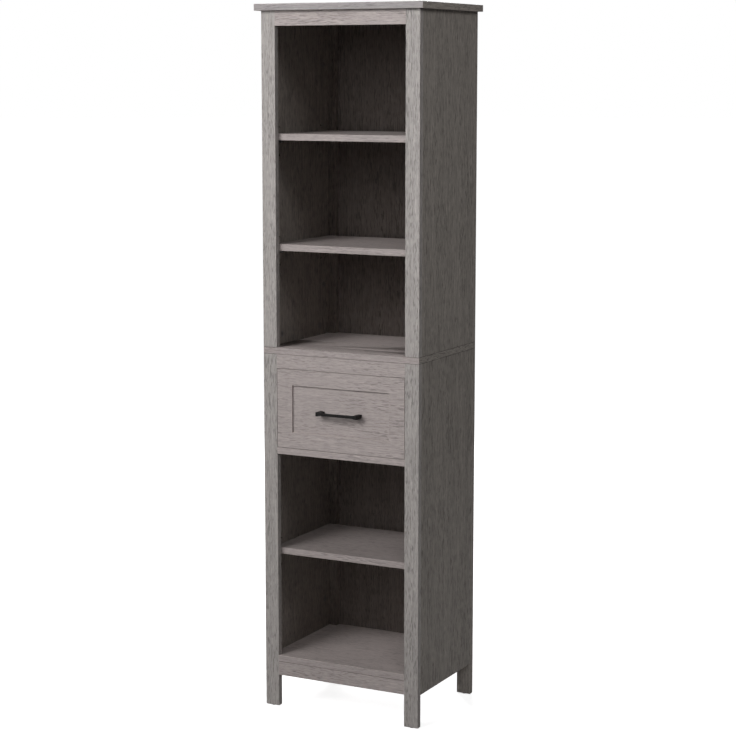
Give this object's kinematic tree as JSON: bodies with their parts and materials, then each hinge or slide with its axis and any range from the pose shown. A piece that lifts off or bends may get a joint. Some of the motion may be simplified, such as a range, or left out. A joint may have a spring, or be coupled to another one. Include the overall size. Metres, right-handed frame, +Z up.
{
  "type": "bathroom storage tower",
  "caption": "Tall free-standing storage tower in grey wood-grain boards: open compartments above and below an inset drawer on roller runners, on four short legs.",
  "frame": {"origin": "on the floor under the middle of the footprint, measured from the front of the drawer handle to the nail heads in the back panels", "axes": "+X to the right seen from the front, the front with the drawer faces -Y, +Z up"},
  "size_m": [0.424, 0.3252, 1.638],
  "materials": {
    "carcass_boards": "grey wood-grain laminate, satin, with pressed pores",
    "shelf_boards": "grey wood-grain laminate, satin",
    "back_hardboard": "grey wood-grain foil on hardboard",
    "drawer_box_board": "grey foil on particleboard, matte",
    "drawer_hardboard": "grey foil on hardboard, matte",
    "batten_wood": "bare softwood, sanded",
    "runner_steel": "pale powder coat on sheet steel",
    "roller_nylon": "moulded nylon, matte",
    "handle_black": "matte black coating on cast metal",
    "screw_zinc": "zinc plated",
    "cam_zinc": "die-cast zinc, satin",
    "bolt_steel": "yellow-passivated steel",
    "pin_steel": "nickel plated",
    "nail_steel": "bright nail steel",
    "dowel_birch": "fluted birch, bare",
    "glide_plastic": "black plastic, matte"
  },
  "bodies": {
    "cabinet": {"top_panel": "carcass_boards", "mid_board": "carcass_boards", "drawer_divider": "carcass_boards", "bottom_panel": "carcass_boards", "upper_side_left": "carcass_boards", "upper_side_right": "carcass_boards", "lower_side_left": "carcass_boards", "lower_side_right": "carcass_boards", "upper_front_stile_left": "carcass_boards", "upper_front_stile_right": "carcass_boards", "front_leg_left": "carcass_boards", "front_leg_right": "carcass_boards", "upper_rear_stile_left": "carcass_boards", "upper_rear_stile_right": "carcass_boards", "rear_leg_left": "carcass_boards", "rear_leg_right": "carcass_boards", "top_rail": "carcass_boards", "drawer_rail": "carcass_boards", "apron_rail": "carcass_boards", "high_shelf": "shelf_boards", "middle_shelf": "shelf_boards", "lower_shelf": "shelf_boards", "upper_back_panel": "back_hardboard", "lower_back_panel": "back_hardboard", "runner_batten_left": "batten_wood", "runner_batten_right": "batten_wood", "cabinet_runner_left": "runner_steel", "cabinet_runner_right": "runner_steel", "batten_screws": "screw_zinc", "cabinet_runner_screws": "screw_zinc", "carcass_cam_locks": "cam_zinc", "carcass_cam_bolts": "bolt_steel", "shelf_pins": "pin_steel", "back_nails": "nail_steel", "wood_dowels": "dowel_birch", "leg_glides": "glide_plastic"},
    "drawer": {"drawer_front": "carcass_boards", "drawer_side_left": "drawer_box_board", "drawer_side_right": "drawer_box_board", "drawer_back": "drawer_box_board", "drawer_bottom": "drawer_hardboard", "drawer_handle": "handle_black", "handle_screws": "screw_zinc", "drawer_box_screws": "screw_zinc", "drawer_runner_screws": "screw_zinc", "drawer_cam_locks": "cam_zinc", "drawer_cam_bolts": "bolt_steel", "drawer_runner_left": "runner_steel", "drawer_runner_right": "runner_steel"},
    "cabinet_roller_left": {"cabinet_roller_left": "roller_nylon"},
    "cabinet_roller_right": {"cabinet_roller_right": "roller_nylon"},
    "drawer_roller_left": {"drawer_roller_left": "roller_nylon"},
    "drawer_roller_right": {"drawer_roller_right": "roller_nylon"}
  },
  "joints": [
    {"name": "drawer_slide", "type": "slide", "parent": "cabinet", "child": "drawer", "axis": [0, -1, 0], "range_m": [0, 0.19]},
    {"name": "cabinet_roller_left_spin", "type": "hinge", "parent": "cabinet", "child": "cabinet_roller_left", "pos_m": [-0.1605, -0.1146, 0.6533], "axis": [1, 0, 0], "range_deg": [0, 1225]},
    {"name": "cabinet_roller_right_spin", "type": "hinge", "parent": "cabinet", "child": "cabinet_roller_right", "pos_m": [0.1605, -0.1146, 0.6533], "axis": [1, 0, 0], "range_deg": [0, 1225]},
    {"name": "drawer_roller_left_spin", "type": "hinge", "parent": "drawer", "child": "drawer_roller_left", "pos_m": [-0.157, 0.1104, 0.6533], "axis": [1, 0, 0], "range_deg": [0, 1225]},
    {"name": "drawer_roller_right_spin", "type": "hinge", "parent": "drawer", "child": "drawer_roller_right", "pos_m": [0.157, 0.1104, 0.6533], "axis": [1, 0, 0], "range_deg": [0, 1225]}
  ],
  "couplings": [
    {"joint": "cabinet_roller_left_spin", "follows": "drawer_slide", "rad_per_m": 111.11},
    {"joint": "cabinet_roller_right_spin", "follows": "drawer_slide", "rad_per_m": 111.11},
    {"joint": "drawer_roller_left_spin", "follows": "drawer_slide", "rad_per_m": 111.11},
    {"joint": "drawer_roller_right_spin", "follows": "drawer_slide", "rad_per_m": 111.11}
  ]
}
